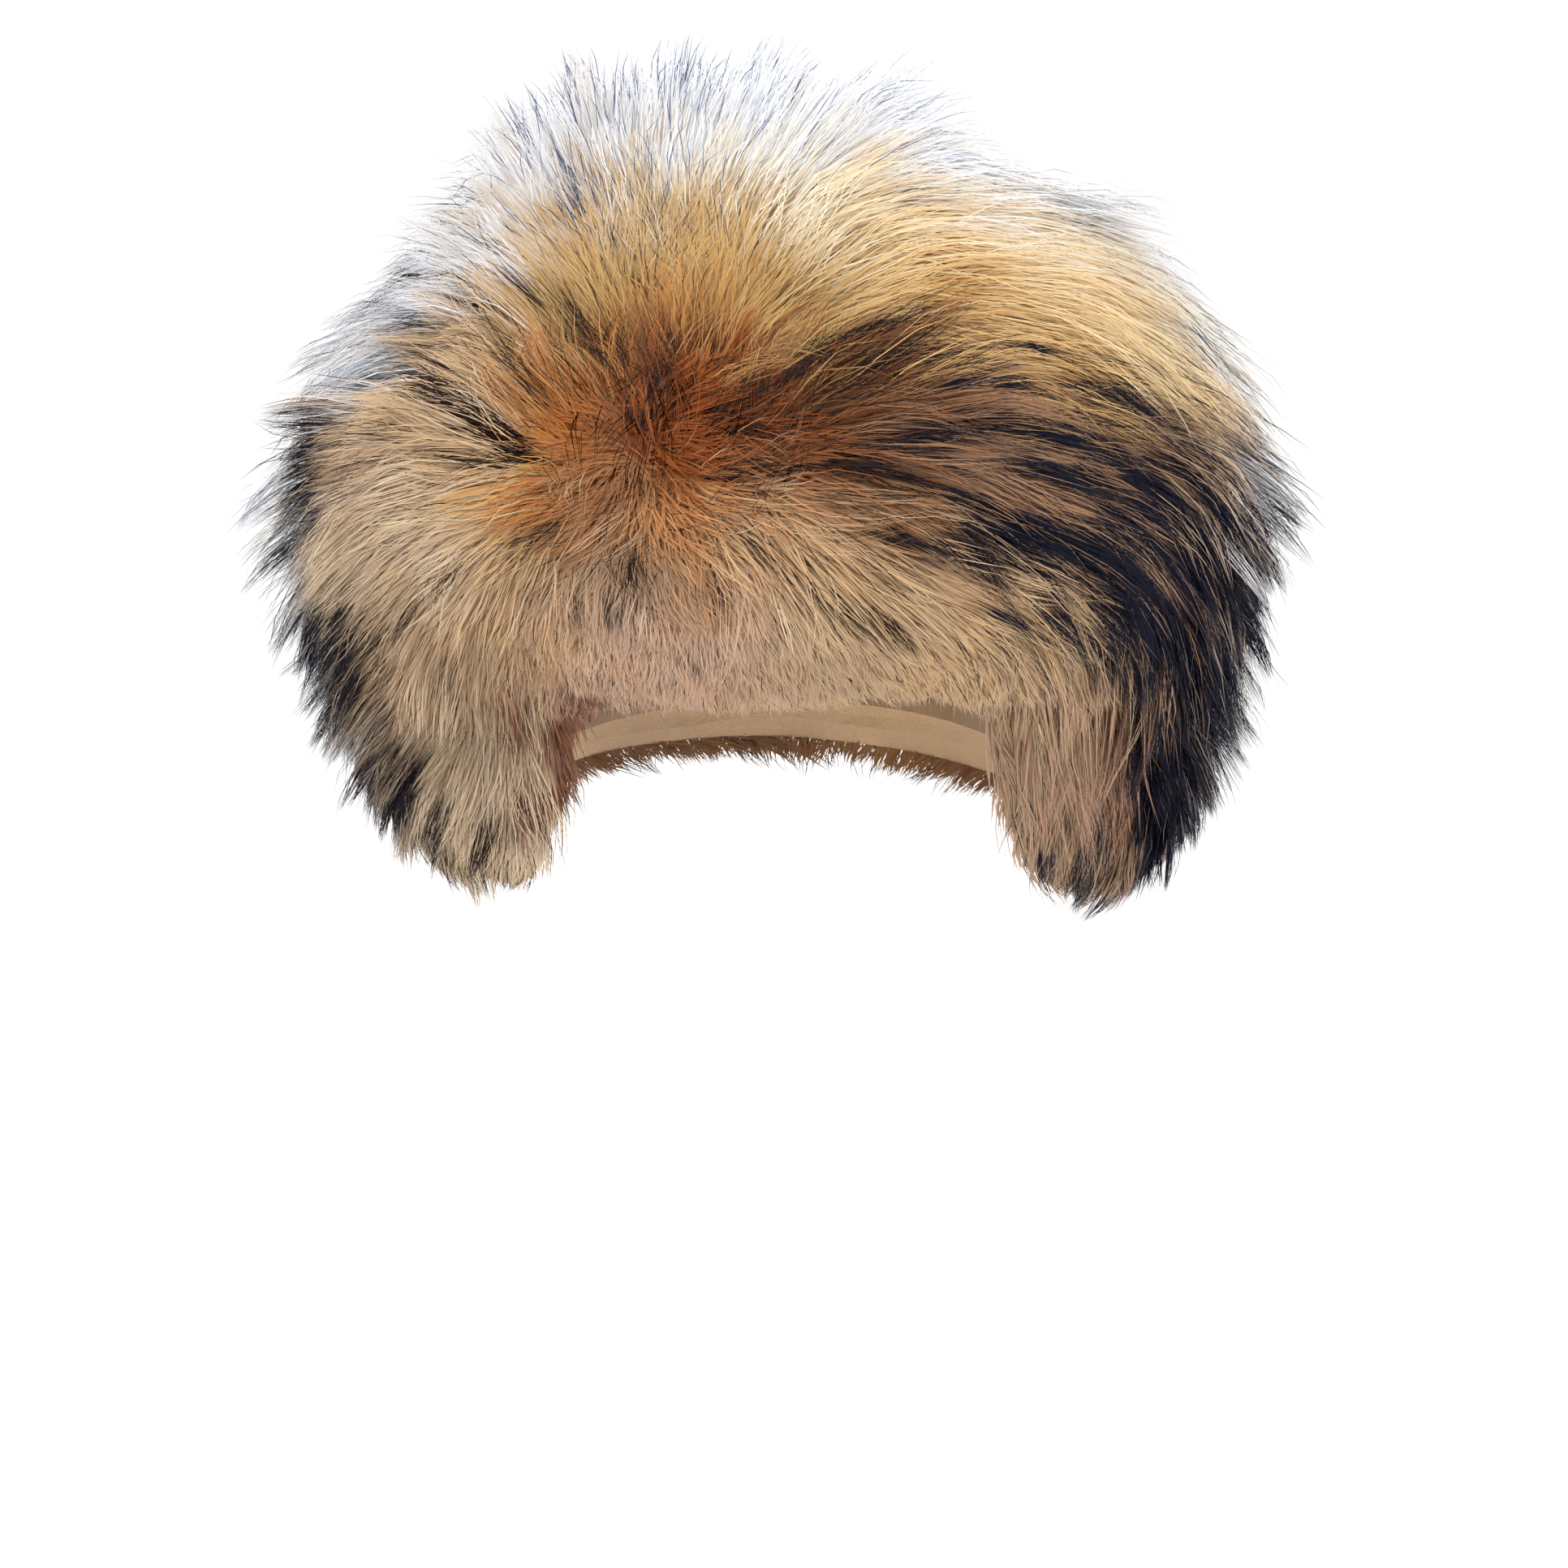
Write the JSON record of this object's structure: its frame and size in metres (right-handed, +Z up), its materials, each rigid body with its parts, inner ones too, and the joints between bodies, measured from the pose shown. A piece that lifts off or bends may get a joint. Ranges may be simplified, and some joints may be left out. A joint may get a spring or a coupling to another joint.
{
  "type": "fur ushanka",
  "caption": "Long-haired fur hat with a domed crown, a turned-up front flap, ear flaps on both sides and a nape flap, all hanging as worn.",
  "frame": {"origin": "inside of the crown's top, where the wearer's head touches it", "axes": "+Z up, -Y the way the wearer looks, +X towards the wearer's left ear"},
  "size_m": [0.3155, 0.3237, 0.2566],
  "materials": {
    "pelt_leather": "suede, the flesh side of a tanned pelt",
    "blonde_fur": "long soft hair, blonde going cream at the top",
    "brown_fur": "long soft hair, orange-brown with black-tipped guard hairs",
    "tan_fur": "long soft hair, tan with blue-black tips"
  },
  "bodies": {
    "root": {"crown": "pelt_leather", "front_flap": "pelt_leather", "ear_flap_left": "pelt_leather", "ear_flap_right": "pelt_leather", "nape_flap": "pelt_leather", "crown_fur": "blonde_fur", "front_flap_fur": "brown_fur", "ear_flap_left_fur": "tan_fur", "ear_flap_right_fur": "tan_fur", "nape_flap_fur": "tan_fur"}
  },
  "joints": []
}
